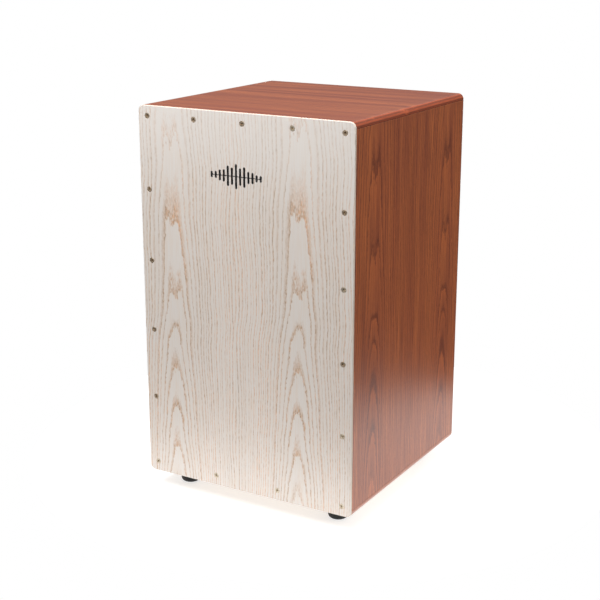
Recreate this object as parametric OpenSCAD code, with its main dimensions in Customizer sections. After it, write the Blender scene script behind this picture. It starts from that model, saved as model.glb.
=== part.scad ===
// Cajon: a box drum that the player sits on, struck on its thin front plate (the tapa).
// Origin at the middle of the footprint, on the surface that the feet stand on.
// +Z is up, the tapa faces -Y, and +X is to the right as seen from the front.

/* [Box] */
// Outer width of the box
body_w = 300; // [280:1:340]
// Outer depth of the box, with the tapa
body_d = 300; // [280:1:340]
// Outer height of the box, without the feet
body_h = 480; // [440:1:520]
// Thickness of the top, bottom and side panels
panel_t = 8; // [8:0.5:12]
// Radius along the long edges and at the corners of the tapa
edge_r = 7.5; // [4:0.5:7.5]

/* [Tapa] */
// Thickness of the struck front plate
tapa_t = 3; // [2.5:0.1:4]
// Distance from the edge of the tapa to each screw
screw_inset = 13; // [12:0.5:15]
// Number of screws along the top edge, with its corners
top_screws = 5; // [3:1:7]
// Number of screws along the bottom edge, with its corners
bottom_screws = 4; // [3:1:7]
// Number of screws down each side edge, with its corners
side_screws = 6; // [4:1:8]

/* [Emblem] */
// Width of the printed wave emblem
emblem_w = 72; // [50:1:90]
// Height of its tallest bar
emblem_h = 30; // [20:1:36]
// Distance of its middle from the centre line of the tapa
emblem_x = -9; // [-30:1:30]
// Distance of its middle below the top of the box
emblem_drop = 76; // [60:1:100]
// Number of bars in the wave
emblem_bars = 13; // [7:2:17]

/* [Back panel] */
// Thickness of the back panel
back_t = 6; // [4:0.5:8]
// Diameter of the sound hole
hole_d = 115; // [90:1:130]
// Distance from the top of the box to the middle of the sound hole
hole_drop = 165; // [150:1:220]

/* [Frame] */
// Side of the square battens that the tapa is screwed to
front_batten = 15; // [14:1:18]
// Side of the square battens in front of the back panel, and of the corner cleats
rear_batten = 12; // [10:1:15]
// Width of the brace under the seat
brace_w = 20; // [15:1:40]
// Height of the brace under the seat
brace_h = 15; // [12:1:20]

/* [Snares] */
// Height of the bar that holds the snares
bar_h = 24; // [22:1:30]
// Depth of the bar that holds the snares
bar_d = 18; // [15:1:22]
// Distance from the top of the box to the middle of the bar
bar_drop = 95; // [80:1:120]
// Length of a snare below the middle of the bar
snare_drop = 180; // [140:1:220]
// Number of wires in each snare
snare_wires = 10; // [6:1:12]
// Outer diameter of one coiled snare wire
wire_d = 2.2; // [1.8:0.1:2.4]
// Distance of each snare from the middle of the box
snare_x = 40; // [30:1:70]

/* [Feet] */
// Height of the rubber feet
foot_h = 22; // [15:1:30]
// Diameter of a foot at the box
foot_top_d = 28; // [27:0.5:32]
// Diameter of a foot above its rounded lower edge
foot_base_d = 26; // [26:0.5:30]
// Distance from the outside of the box to the middle of a foot
foot_inset = 38; // [30:1:50]

/* [Hidden] */
$fn = 48;

// Colours
ash_white = [0.86, 0.83, 0.79];
ash_brown = [0.50, 0.26, 0.16];
raw_wood = [0.80, 0.68, 0.50];
beech = [0.78, 0.60, 0.42];
steel = [0.70, 0.70, 0.72];
brass = [0.72, 0.58, 0.38];
rubber_black = [0.08, 0.08, 0.08];
print_black = [0.03, 0.03, 0.03];

// Planes of the box
half_w = body_w / 2;
inner_x = half_w - panel_t;
front_y = -body_d / 2;
rear_y = body_d / 2;
tapa_back_y = front_y + tapa_t;
back_front_y = rear_y - back_t;
bottom_z = foot_h;
top_z = foot_h + body_h;
floor_z = bottom_z + panel_t;
ceiling_z = top_z - panel_t;

// Frame
front_batten_y = tapa_back_y + front_batten;
rear_batten_y = back_front_y - rear_batten;

// Countersunk screws of the tapa
tapa_screw_len = 16;
tapa_shank_d = 3;
tapa_head_d = 6.8;
tapa_head_h = 2;
screw_x = half_w - screw_inset;
screw_top_z = top_z - screw_inset;
screw_bottom_z = bottom_z + screw_inset;
screw_pitch = (screw_top_z - screw_bottom_z) / (side_screws - 1);
tapa_screw_places = concat(
    [for (i = [0:top_screws - 1])
        [screw_x * (2 * i / (top_screws - 1) - 1), screw_top_z]],
    [for (i = [0:bottom_screws - 1])
        [screw_x * (2 * i / (bottom_screws - 1) - 1), screw_bottom_z]],
    [for (side = [-1, 1], i = [1:side_screws - 2])
        [side * screw_x, screw_bottom_z + i * screw_pitch]]);

// Emblem, a printed layer let into the face of the tapa
emblem_t = 0.3;
emblem_z = top_z - emblem_drop;
emblem_bar = emblem_w / (2 * emblem_bars - 1);

// Snares: the bar stands behind the upright battens, and its front face is planed to the
// slope at which the wires run down to the back of the tapa
bar_front_y = front_batten_y;
bar_z = top_z - bar_drop;
plate_t = 0.8;
plate_w = 44;
plate_h = 16;
strip_h = 7;
wire_top = 1;
wire_pitch = 3.6;
snare_gap = bar_front_y - tapa_back_y;
bevel_depth = 1;
snare_lean = asin((snare_gap + bevel_depth - plate_t - wire_d) / snare_drop);
bevel_half_w = inner_x - front_batten - 1;

// Screws of the snare plates
plate_screw_x = 15;
plate_screw_z = 4;
plate_screw_d = 2.5;
plate_screw_len = 10;
plate_head_d = 5.6;
plate_head_h = 1.8;

// Screws of the snare bar
bar_screw_x = inner_x - front_batten / 2;
bar_screw_d = 3.5;
bar_screw_len = 28;
bar_head_d = 7.6;
bar_head_h = 2.4;

// Feet
foot_fillet = 5;
foot_seat = 8;
foot_bore_d = 4.4;
foot_well_d = 10;
washer_d = 9.4;
washer_t = 1.2;
foot_screw_d = 4;
foot_screw_len = 16;
foot_head_d = 7.2;
foot_head_h = 2.4;
washer_z = foot_h - foot_seat - washer_t;
foot_places = [for (x = [-1, 1], y = [-1, 1])
    [x * (half_w - foot_inset), y * (body_d / 2 - foot_inset)]];

// Rectangle with round corners, centred
module round_rect(w, h, r) {
    square([w, h - 2 * r], center = true);
    square([w - 2 * r, h], center = true);
    for (x = [-1, 1], y = [-1, 1])
        translate([x * (w / 2 - r), y * (h / 2 - r)]) circle(r);
}

// Outline in X and Z, drawn out from y0 to y1
module along_y(y0, y1) {
    translate([0, y1, 0]) rotate([90, 0, 0]) linear_extrude(y1 - y0) children();
}

// Block between two corners
module block(low, high) {
    translate(low) cube(high - low);
}

// Cross recess, cut down from the top of a head that faces +Z
module cross_recess(size, depth) {
    for (turn = [0, 90])
        rotate([0, 0, turn]) translate([-size / 2, -size / 8, -depth])
            cube([size, size / 4, 2 * depth]);
}

// Countersunk screw with its head flush at the origin and its point towards -Z
module countersunk_screw(len, shank_d, head_d, head_h) {
    tip = shank_d;
    difference() {
        union() {
            translate([0, 0, -head_h])
                cylinder(h = head_h, d1 = shank_d, d2 = head_d);
            translate([0, 0, tip - len])
                cylinder(h = len - tip - head_h, d = shank_d);
            translate([0, 0, -len])
                cylinder(h = tip, d1 = shank_d / 6, d2 = shank_d);
        }
        cross_recess(head_d * 0.55, head_h * 0.6);
    }
}

// Space that a countersunk screw fills, for cutting its hole
module countersunk_hole(len, shank_d, head_d, head_h) {
    translate([0, 0, -len]) cylinder(h = len, d = shank_d);
    translate([0, 0, -head_h]) cylinder(h = head_h, d1 = shank_d, d2 = head_d);
}

// Pan-head screw that stands on the origin, with its point towards -Z
module pan_screw(len, shank_d, head_d, head_h) {
    tip = shank_d;
    difference() {
        union() {
            cylinder(h = head_h * 0.5, d = head_d);
            translate([0, 0, head_h * 0.5])
                cylinder(h = head_h * 0.5, d1 = head_d, d2 = head_d * 0.7);
            translate([0, 0, tip - len]) cylinder(h = len - tip, d = shank_d);
            translate([0, 0, -len])
                cylinder(h = tip, d1 = shank_d / 6, d2 = shank_d);
        }
        translate([0, 0, head_h]) cross_recess(head_d * 0.55, head_h * 0.5);
    }
}

// Children at each screw of the tapa, with +Z of the child facing forwards
module at_tapa_screws() {
    for (place = tapa_screw_places)
        translate([place[0], front_y, place[1]]) rotate([90, 0, 0]) children();
}

module tapa_screw_holes() {
    at_tapa_screws()
        countersunk_hole(tapa_screw_len, tapa_shank_d, tapa_head_d, tapa_head_h);
}

// Children at each screw of the snare bar, with +Z of the child facing backwards
module at_bar_screws() {
    for (side = [-1, 1])
        translate([side * bar_screw_x, bar_front_y + bar_d, bar_z])
            rotate([-90, 0, 0]) children();
}

module bar_screw_holes() {
    at_bar_screws() countersunk_hole(bar_screw_len, bar_screw_d, bar_head_d, bar_head_h);
}

// Frame of a snare: -Y faces the tapa, and -Z runs down along the wires
module snare_frame() {
    translate([0, bar_front_y + bevel_depth, bar_z]) rotate([-snare_lean, 0, 0])
        children();
}

// Children at the screws of both snare plates, with +Z of the child facing forwards
module at_plate_screws() {
    snare_frame()
        for (side = [-1, 1], screw = [-1, 1])
            translate([side * snare_x + screw * plate_screw_x, -plate_t, plate_screw_z])
                rotate([90, 0, 0]) children();
}

module plate_screw_holes() {
    at_plate_screws()
        translate([0, 0, -plate_screw_len])
            cylinder(h = plate_screw_len, d = plate_screw_d);
}

// Children at each foot, with the origin on the surface that the foot stands on
module at_feet() {
    for (place = foot_places) translate([place[0], place[1], 0]) children();
}

// Two-dimensional emblem: round-ended bars on a thin line, tallest in the middle
module emblem_outline() {
    square([emblem_w - emblem_bar, emblem_bar / 3], center = true);
    for (i = [0:emblem_bars - 1]) {
        share = i / (emblem_bars - 1);
        tall = emblem_h * (0.25 + 0.75 * pow(sin(180 * share), 2) * (i % 2 == 0 ? 1 : 0.62));
        translate([(share - 0.5) * (emblem_w - emblem_bar), 0])
            round_rect(emblem_bar, tall, emblem_bar * 0.49);
    }
}

module emblem_solid() {
    translate([emblem_x, 0, emblem_z]) along_y(front_y, front_y + emblem_t)
        emblem_outline();
}

module tapa() {
    color(ash_white)
        difference() {
            translate([0, 0, (top_z + bottom_z) / 2]) along_y(front_y, tapa_back_y)
                round_rect(body_w, body_h, edge_r);
            tapa_screw_holes();
            emblem_solid();
        }
}

module tapa_screws() {
    color(brass)
        at_tapa_screws()
            countersunk_screw(tapa_screw_len, tapa_shank_d, tapa_head_d, tapa_head_h);
}

module emblem() {
    color(print_black) emblem_solid();
}

// Panel that spans the whole width, with both long outer edges rounded. Its inner face is
// on the plane z = 0 and its outer face is above
module capping_panel() {
    along_y(tapa_back_y, rear_y)
        intersection() {
            round_rect(body_w, 2 * panel_t, edge_r);
            translate([0, panel_t / 2]) square([body_w, panel_t], center = true);
        }
}

module top_panel() {
    color(ash_brown) translate([0, 0, ceiling_z]) capping_panel();
}

module bottom_panel() {
    color(ash_brown)
        difference() {
            translate([0, 0, floor_z]) mirror([0, 0, 1]) capping_panel();
            foot_screw_holes();
        }
}

module side_panel(side) {
    color(ash_brown)
        translate([side * (half_w - panel_t / 2), 0, 0])
            block([-panel_t / 2, tapa_back_y, floor_z], [panel_t / 2, rear_y, ceiling_z]);
}

module left_panel() {
    side_panel(-1);
}

module right_panel() {
    side_panel(1);
}

module back_panel() {
    color(ash_brown)
        along_y(back_front_y, rear_y)
            difference() {
                translate([-inner_x, floor_z]) square([2 * inner_x, ceiling_z - floor_z]);
                translate([0, top_z - hole_drop]) circle(d = hole_d, $fn = 96);
            }
}

// Batten across the front, from one upright to the other
module front_cross_batten(z) {
    reach = inner_x - front_batten;
    color(raw_wood)
        difference() {
            block([-reach, tapa_back_y, z], [reach, front_batten_y, z + front_batten]);
            tapa_screw_holes();
        }
}

module front_batten_top() {
    front_cross_batten(ceiling_z - front_batten);
}

module front_batten_bottom() {
    front_cross_batten(floor_z);
}

// Upright batten at the front, on one side
module front_upright_batten(side) {
    centre = side * (inner_x - front_batten / 2);
    color(raw_wood)
        difference() {
            block([centre - front_batten / 2, tapa_back_y, floor_z],
                [centre + front_batten / 2, front_batten_y, ceiling_z]);
            tapa_screw_holes();
            bar_screw_holes();
        }
}

module front_batten_left() {
    front_upright_batten(-1);
}

module front_batten_right() {
    front_upright_batten(1);
}

// Batten across the back, from one upright to the other
module rear_cross_batten(z) {
    reach = inner_x - rear_batten;
    color(raw_wood)
        block([-reach, rear_batten_y, z], [reach, back_front_y, z + rear_batten]);
}

module rear_batten_top() {
    rear_cross_batten(ceiling_z - rear_batten);
}

module rear_batten_bottom() {
    rear_cross_batten(floor_z);
}

// Upright batten at the back, on one side
module rear_upright_batten(side) {
    centre = side * (inner_x - rear_batten / 2);
    color(raw_wood)
        block([centre - rear_batten / 2, rear_batten_y, floor_z],
            [centre + rear_batten / 2, back_front_y, ceiling_z]);
}

module rear_batten_left() {
    rear_upright_batten(-1);
}

module rear_batten_right() {
    rear_upright_batten(1);
}

// Glue block from the front frame to the rear frame, in one long corner of the box
module cleat(side, z) {
    centre = side * (inner_x - rear_batten / 2);
    color(raw_wood)
        block([centre - rear_batten / 2, front_batten_y, z],
            [centre + rear_batten / 2, rear_batten_y, z + rear_batten]);
}

module cleat_top_left() {
    cleat(-1, ceiling_z - rear_batten);
}

module cleat_top_right() {
    cleat(1, ceiling_z - rear_batten);
}

module cleat_bottom_left() {
    cleat(-1, floor_z);
}

module cleat_bottom_right() {
    cleat(1, floor_z);
}

module seat_brace() {
    reach = inner_x - rear_batten;
    color(raw_wood)
        block([-reach, -brace_w / 2, ceiling_z - brace_h], [reach, brace_w / 2, ceiling_z]);
}

module snare_bar() {
    color(beech)
        difference() {
            block([-inner_x, bar_front_y, bar_z - bar_h / 2],
                [inner_x, bar_front_y + bar_d, bar_z + bar_h / 2]);
            snare_frame() block([-bevel_half_w, -bar_d, -bar_h], [bevel_half_w, 0, bar_h]);
            bar_screw_holes();
            plate_screw_holes();
        }
}

module snare_bar_screws() {
    color(steel)
        at_bar_screws() countersunk_screw(bar_screw_len, bar_screw_d, bar_head_d, bar_head_h);
}

module snare_plate(side) {
    color(steel)
        difference() {
            snare_frame() translate([side * snare_x, 0, 0])
                block([-plate_w / 2, -plate_t, -plate_h / 2], [plate_w / 2, 0, plate_h / 2]);
            plate_screw_holes();
        }
}

module snare_plate_left() {
    snare_plate(-1);
}

module snare_plate_right() {
    snare_plate(1);
}

// The wires of one snare, each as the plain rod that its coil fills
module snare_wire_set(side) {
    color(steel)
        snare_frame()
            for (i = [0:snare_wires - 1])
                translate([side * snare_x + (i - (snare_wires - 1) / 2) * wire_pitch,
                    -plate_t - wire_d / 2, -snare_drop])
                    cylinder(h = snare_drop - wire_top, d = wire_d);
}

module snare_wires_left() {
    snare_wire_set(-1);
}

module snare_wires_right() {
    snare_wire_set(1);
}

// Strip that joins the lower ends of one snare's wires
module snare_strip(side) {
    color(steel)
        snare_frame() translate([side * snare_x, 0, -snare_drop])
            block([-plate_w / 2, -plate_t, 0], [plate_w / 2, 0, strip_h]);
}

module snare_strip_left() {
    snare_strip(-1);
}

module snare_strip_right() {
    snare_strip(1);
}

module snare_screws() {
    color(steel)
        at_plate_screws()
            pan_screw(plate_screw_len - plate_t, plate_screw_d, plate_head_d, plate_head_h);
}

// Half outline of a foot, from its axis outwards
module foot_outline() {
    difference() {
        union() {
            polygon([[0, 0], [foot_base_d / 2 - foot_fillet, 0],
                [foot_base_d / 2, foot_fillet], [foot_top_d / 2, foot_h], [0, foot_h]]);
            intersection() {
                translate([foot_base_d / 2 - foot_fillet, foot_fillet]) circle(foot_fillet);
                square([foot_base_d / 2, foot_fillet]);
            }
        }
        translate([-1, -1]) square([foot_well_d / 2 + 1, washer_z + washer_t + 1]);
        translate([-1, -1]) square([foot_bore_d / 2 + 1, foot_h + 2]);
    }
}

module foot(x_side, y_side) {
    color(rubber_black)
        translate([x_side * (half_w - foot_inset), y_side * (body_d / 2 - foot_inset), 0])
            rotate_extrude() foot_outline();
}

module foot_front_left() {
    foot(-1, -1);
}

module foot_front_right() {
    foot(1, -1);
}

module foot_rear_left() {
    foot(-1, 1);
}

module foot_rear_right() {
    foot(1, 1);
}

module foot_washers() {
    color(steel)
        at_feet() translate([0, 0, washer_z])
            difference() {
                cylinder(h = washer_t, d = washer_d);
                translate([0, 0, -1]) cylinder(h = washer_t + 2, d = foot_bore_d);
            }
}

module foot_screws() {
    color(steel)
        at_feet() translate([0, 0, washer_z]) mirror([0, 0, 1])
            pan_screw(foot_screw_len, foot_screw_d, foot_head_d, foot_head_h);
}

module foot_screw_holes() {
    at_feet() translate([0, 0, washer_z])
        cylinder(h = foot_screw_len, d = foot_screw_d);
}

tapa();
tapa_screws();
emblem();
top_panel();
bottom_panel();
left_panel();
right_panel();
back_panel();
front_batten_top();
front_batten_bottom();
front_batten_left();
front_batten_right();
rear_batten_top();
rear_batten_bottom();
rear_batten_left();
rear_batten_right();
cleat_top_left();
cleat_top_right();
cleat_bottom_left();
cleat_bottom_right();
seat_brace();
snare_bar();
snare_bar_screws();
snare_plate_left();
snare_plate_right();
snare_wires_left();
snare_wires_right();
snare_strip_left();
snare_strip_right();
snare_screws();
foot_front_left();
foot_front_right();
foot_rear_left();
foot_rear_right();
foot_washers();
foot_screws();
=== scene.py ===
import math
import random

import bmesh
import bpy
from mathutils import Matrix, Vector


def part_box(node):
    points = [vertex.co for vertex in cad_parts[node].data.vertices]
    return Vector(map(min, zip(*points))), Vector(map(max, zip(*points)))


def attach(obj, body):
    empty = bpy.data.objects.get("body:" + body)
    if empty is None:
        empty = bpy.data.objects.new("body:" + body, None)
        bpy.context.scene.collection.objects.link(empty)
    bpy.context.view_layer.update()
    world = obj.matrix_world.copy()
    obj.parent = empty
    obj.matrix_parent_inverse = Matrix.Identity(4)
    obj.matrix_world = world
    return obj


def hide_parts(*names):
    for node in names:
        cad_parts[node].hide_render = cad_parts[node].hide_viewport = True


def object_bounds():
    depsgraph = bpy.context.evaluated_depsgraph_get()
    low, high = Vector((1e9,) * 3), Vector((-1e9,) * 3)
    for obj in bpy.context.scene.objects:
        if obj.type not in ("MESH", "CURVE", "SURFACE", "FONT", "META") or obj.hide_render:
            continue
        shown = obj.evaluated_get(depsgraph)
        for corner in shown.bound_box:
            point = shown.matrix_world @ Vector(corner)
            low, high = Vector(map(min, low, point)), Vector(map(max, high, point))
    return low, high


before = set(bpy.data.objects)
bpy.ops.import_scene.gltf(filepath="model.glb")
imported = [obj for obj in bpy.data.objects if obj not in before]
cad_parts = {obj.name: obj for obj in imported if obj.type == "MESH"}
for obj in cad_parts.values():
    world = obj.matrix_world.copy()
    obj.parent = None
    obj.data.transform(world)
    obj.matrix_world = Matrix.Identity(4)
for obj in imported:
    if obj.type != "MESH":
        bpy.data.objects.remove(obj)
cad_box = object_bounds()

MM = 0.001
X, Y, Z = 0, 1, 2

# The camera stands in front and to the right, a little above the seat
VIEW_AZIMUTH = math.radians(30.32)
VIEW_ELEVATION = math.radians(16.16)
VIEW_DISTANCE = 1.6786
VIEW_OFFSET = Vector((-5, -7, -12)) * MM
LENS_MM = 76.63

# Studio. The room is graded by height, from straight down (0) to straight up (1)
GROUND_LEVEL, HORIZON_LEVEL = 0.02, 0.05
ROOM_LEVEL, SKY_LEVEL = 0.16, 0.8
HORIZON, WALL_TOP = 0.49, 0.62
FLOOR_R = 408 * MM
FLOOR_CENTRE = Vector((-20, 80)) * MM
FLOOR_THICK = 0.1 * MM
FLOOR_SIDES = 128
FLOOR_GLOW = 0.7

# Figure of the veneer. The arches are rings to the metre of height, below and above a leaf's
# turn, and the crest and the ragged shifts are parts of a ring
PITH_DEPTH = 30 * MM
ARCHES_LOW, ARCHES_HIGH = 18.0, 11.2
ARCH_REACH = 95 * MM
CREST = 0.5
CREST_REACH = 11 * MM
CREST_START, CREST_FULL = -30 * MM, 5 * MM
SWAY = 3.5 * MM
RAGGED = 0.24
RING_SPREAD = 0.7
PORE_DEPTH = 0.12 * MM
# The tapa's face is painted lighter towards its top, from one height to the next, by this share:
# a painted highlight of the overhead light
TOP_SHEEN_START, TOP_SHEEN_END = 370 * MM, 490 * MM
TOP_SHEEN_SHARE = 0.45

# Tapa
TAPA_RADIUS = 7.5 * MM
TAPA_ARRIS = 0.9 * MM
SCREW_INSET = 13 * MM
TOP_SCREWS, BOTTOM_SCREWS, SIDE_SCREWS = 5, 4, 6
# Tapa screws that get the lighter copy of the nickel, a painted highlight of the lamps
HIGHLIT_SCREWS = (3, 5, 6, 7, 8, 13, 15)
SCREW_HEAD_R = 3.4 * MM
SCREW_SHANK_R = 1.5 * MM
SCREW_HEAD_H = 2.0 * MM
SCREW_LENGTH = 16 * MM
SCREW_SUNK = 0.05 * MM
SCREW_TILT = math.radians(1.5)
SINK_GAP = 0.25 * MM
SINK_LIP = 0.12 * MM
PILOT_DEPTH = 13.1 * MM
EMBLEM_BARS = 13
EMBLEM_PROUD = 0.12 * MM
EMBLEM_DEPTH = 0.2 * MM
EMBLEM_LINE_RADIUS = 0.1 * MM
EMBLEM_END, EMBLEM_SHORT = 0.25, 0.62

# Screws of every kind. The thread's root is a share of the shank's radius, and the recess
# of a pan head is made for a head of so much of its radius
THREAD_PITCH = 0.9 * MM
THREAD_ROOT = 0.8
POINT_R = 0.15 * MM
POINT_LENGTH = 2.5 * MM
PAN_RECESS = 0.8
HEAD_RIM = 0.22 * MM
HEAD_ARRIS = 0.10 * MM
FLUSH = -0.02 * MM
SCREW_SIDES = 24

# Panels
PANEL_RADIUS = 7.5 * MM
PANEL_ARRIS = 0.6 * MM
VENEER = 0.6 * MM
HOLE_DROP = 165 * MM
HOLE_R = 57.5 * MM
HOLE_ARRIS = 1.2 * MM
BATTEN_ARRIS = 0.8 * MM
LEAST_RADIUS = 0.02 * MM
WIDE_HOLE_R = 20 * MM
WIDE_HOLE_SIDES, HOLE_SIDES = 96, 24
FACE, EDGE, INSIDE, JOINT = range(4)

# Snares
SNARE_WIRES = 10
SNARE_DROP = 180 * MM
SNARE_PLATE = 0.8 * MM
SNARE_BEVEL = 1 * MM
SHEET_ARRIS = 0.15 * MM
SNARE_LEAD = 6 * MM
PLATE_SCREW_X = 15 * MM
PLATE_SCREW_Z = 4 * MM
PLATE_SCREW_R = 1.25 * MM
PLATE_HEAD_R = 2.8 * MM
PLATE_HEAD_H = 1.8 * MM
PLATE_SCREW_LENGTH = 10 * MM
BAR_SCREW_R = 1.75 * MM
BAR_HEAD_R = 3.8 * MM
BAR_HEAD_H = 2.4 * MM
COIL_R = 1.1 * MM
STRAND_R = 0.24 * MM
COIL_PITCH = 1.9 * MM
COIL_STEPS = 8

# Feet
FOOT_TOP_R = 14 * MM
FOOT_BASE_R = 13 * MM
FOOT_FILLET = 5 * MM
FOOT_FILLET_STEPS = 8
FOOT_SHOULDER = 0.7 * MM
FOOT_TOP_ARRIS = 0.5 * MM
FOOT_SIDES, WASHER_SIDES = 48, 40
FOOT_WELL_R = 5 * MM
FOOT_WELL_ARRIS = 0.8 * MM
PARTING_DROP = 6 * MM
PARTING_HALF = 0.4 * MM
PARTING_DEPTH = 0.25 * MM
FOOT_BORE_R = 2.2 * MM
FOOT_SCREW_R = 2 * MM
FOOT_HEAD_R = 3.6 * MM
FOOT_HEAD_H = 2.4 * MM
WASHER_ARRIS = 0.2 * MM


# ---- Node trees ----------------------------------------------------------------------

def tone(red, green, blue):
    """A screen colour, 0 to 255, as the linear colour that a shader takes."""
    def linear(value):
        value /= 255
        return value / 12.92 if value <= 0.04045 else ((value + 0.055) / 1.055) ** 2.4
    return (linear(red), linear(green), linear(blue), 1.0)


class Nodes:
    """A material's node tree with short calls. Any input may be a number or a socket.

    place is the object's own coordinates, which are those of the CAD frame, and axes are
    its three parts.
    """

    def __init__(self, name, **shader):
        self.material = bpy.data.materials.new(name)
        self.material.use_nodes = True
        self.tree = self.material.node_tree
        self.shader = self.tree.nodes["Principled BSDF"]
        for key, value in shader.items():
            self.shader.inputs[key.replace("_", " ")].default_value = value
        self.place = self.node("ShaderNodeTexCoord").outputs["Object"]
        parts = self.node("ShaderNodeSeparateXYZ", {"Vector": self.place})
        self.axes = [parts.outputs[i] for i in range(3)]

    def node(self, kind, inputs=(), **settings):
        """A new node with the given settings and inputs, which are keyed by name or number."""
        made = self.tree.nodes.new(kind)
        for key, value in settings.items():
            setattr(made, key, value)
        for key, value in dict(inputs).items():
            self.feed(made.inputs[key], value)
        return made

    def feed(self, socket, value):
        """Links a socket to an input, or sets the input to a number."""
        if isinstance(value, bpy.types.NodeSocket):
            self.tree.links.new(value, socket)
        else:
            socket.default_value = value

    def calc(self, operation, *values, clamp=False):
        made = self.node("ShaderNodeMath", operation=operation, use_clamp=clamp)
        for socket, value in zip(made.inputs, values):
            self.feed(socket, value)
        return made.outputs[0]

    def ramp(self, value, low, high, to_low=0.0, to_high=1.0):
        """value from low..high eased to to_low..to_high, and held at the ends."""
        made = self.node("ShaderNodeMapRange", {
            "Value": value, "From Min": low, "From Max": high,
            "To Min": to_low, "To Max": to_high}, interpolation_type="SMOOTHSTEP")
        return made.outputs["Result"]

    def mix(self, factor, first, second):
        """Colour from first to second. The numbers are the node's sockets for colours."""
        made = self.node("ShaderNodeMix", data_type="RGBA")
        for index, value in ((0, factor), (6, first), (7, second)):
            self.feed(made.inputs[index], value)
        return made.outputs[2]

    def point(self, *parts):
        return self.node("ShaderNodeCombineXYZ", dict(enumerate(parts))).outputs[0]

    def noise(self, vector, scales=(1, 1, 1), detail=2.0, roughness=0.5):
        """Noise from 0 to 1, mostly about 0.5, with scales as waves to the metre on each axis."""
        sized = self.node("ShaderNodeVectorMath", {0: vector, 1: scales}, operation="MULTIPLY")
        made = self.node("ShaderNodeTexNoise", {
            "Vector": sized.outputs[0], "Scale": 1.0, "Detail": detail, "Roughness": roughness})
        return made.outputs["Fac"]

    def grained(self, along, across_waves, along_waves, detail, roughness=0.5):
        """Noise of the place, with other waves to the metre along one axis than across it."""
        scales = [across_waves] * 3
        scales[along] = along_waves
        return self.noise(self.place, tuple(scales), detail, roughness)

    def centred(self, value, size):
        """Noise turned into a shift of up to about size each way."""
        return self.calc("MULTIPLY", self.calc("SUBTRACT", value, 0.5), 2.0 * size)

    def bump(self, height, distance, strength):
        """Relief of the surface, as much as distance where height goes from 0 to 1."""
        made = self.node("ShaderNodeBump", {
            "Height": height, "Distance": distance, "Strength": strength})
        self.feed(self.shader.inputs["Normal"], made.outputs[0])

    def finish(self, colour, roughness):
        """Feeds the shader its two last inputs, and returns the material."""
        self.feed(self.shader.inputs["Base Color"], colour)
        self.feed(self.shader.inputs["Roughness"], roughness)
        return self.material


# ---- Wood ----------------------------------------------------------------------------

def leaf_place(nodes, across, along, leaf):
    """Place inside the nearest leaf: across from its middle, and along the grain."""
    calc = nodes.calc
    from_leaf = calc("SUBTRACT", across, leaf["centre"])
    number = calc("ROUND", calc("DIVIDE", from_leaf, leaf["width"]))
    inside = calc("SUBTRACT", from_leaf, calc("MULTIPLY", number, leaf["width"]))
    run = calc("SUBTRACT", along, calc("MULTIPLY", number, leaf["slip"]))
    return inside, run


def ring_count(nodes, grain, inside, run, leaf):
    """How many rings have been crossed at a place in a leaf.

    The count grows outwards from the leaf's middle, which gives straight lines. Near the
    middle it grows with height as well, so that each ring closes as an arch, and a crest
    along the middle splits the heads of the arches into tongues.
    """
    calc, noise, centred = nodes.calc, nodes.noise, nodes.centred
    side = calc("ADD", inside, centred(noise(grain, (0, 9, 1), 2.0), leaf["wander"]))
    side = calc("ADD", side, centred(noise(grain, (24, 8, 1), 3.0), SWAY))
    square = calc("MULTIPLY", side, side)
    side = calc("SQRT", square)
    outwards = calc("DIVIDE", calc("SQRT", calc("ADD", square, PITH_DEPTH ** 2)), leaf["ring"])

    above = calc("SUBTRACT", run, leaf["turn"])
    arches = calc("ADD", calc("MULTIPLY", above, ARCHES_HIGH), leaf["start"])
    below = calc("MINIMUM", above, 0.0)
    arches = calc("ADD", arches, calc("MULTIPLY", below, ARCHES_LOW - ARCHES_HIGH))
    arches = calc("MULTIPLY", arches, nodes.ramp(side, 0.0, ARCH_REACH, 1.0, 0.0))
    crest = calc("MULTIPLY", nodes.ramp(side, 0.0, CREST_REACH, CREST, 0.0),
                 nodes.ramp(above, CREST_START, CREST_FULL))

    rings = calc("ADD", outwards, calc("ADD", arches, crest))
    rings = calc("ADD", rings, centred(noise(grain, (20, 11, 1), 2.0), RAGGED))
    rings = calc("ADD", rings, centred(noise(grain, (60, 24, 1), 4.0, 0.6), RAGGED))
    rings = calc("ADD", rings, centred(noise(grain, (500, 150, 1), 2.0), RAGGED))
    uneven = noise(nodes.point(rings, 0.0, leaf["seed"]), (0.7, 1, 1), 1.0)
    return calc("ADD", rings, centred(uneven, RING_SPREAD))


def ring_line(nodes, grain, part, number, leaf):
    """The line at the start of each ring: a sharp edge, a lighter fill, and flecks in both."""
    calc = nodes.calc
    luck = nodes.node("ShaderNodeTexWhiteNoise", {"W": number}, noise_dimensions="1D")
    line = calc("MULTIPLY", nodes.ramp(part, 0.0, 0.08),
                nodes.ramp(part, leaf["line"] * 0.3, leaf["line"], 1.0, 0.0))
    line = calc("MULTIPLY", line, nodes.ramp(part, 0.10, 0.26, 1.0, leaf["fill"]))
    line = calc("MULTIPLY", line, nodes.ramp(luck.outputs["Value"], 0.0, 0.8, 0.45, 1.0))
    flecks = nodes.noise(grain, (700, 280, 1), 3.0, 0.7)
    flecks = nodes.ramp(flecks, 0.36, 0.60, leaf["solid"], 1.15)
    return calc("MULTIPLY", line, flecks, clamp=True)


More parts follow.
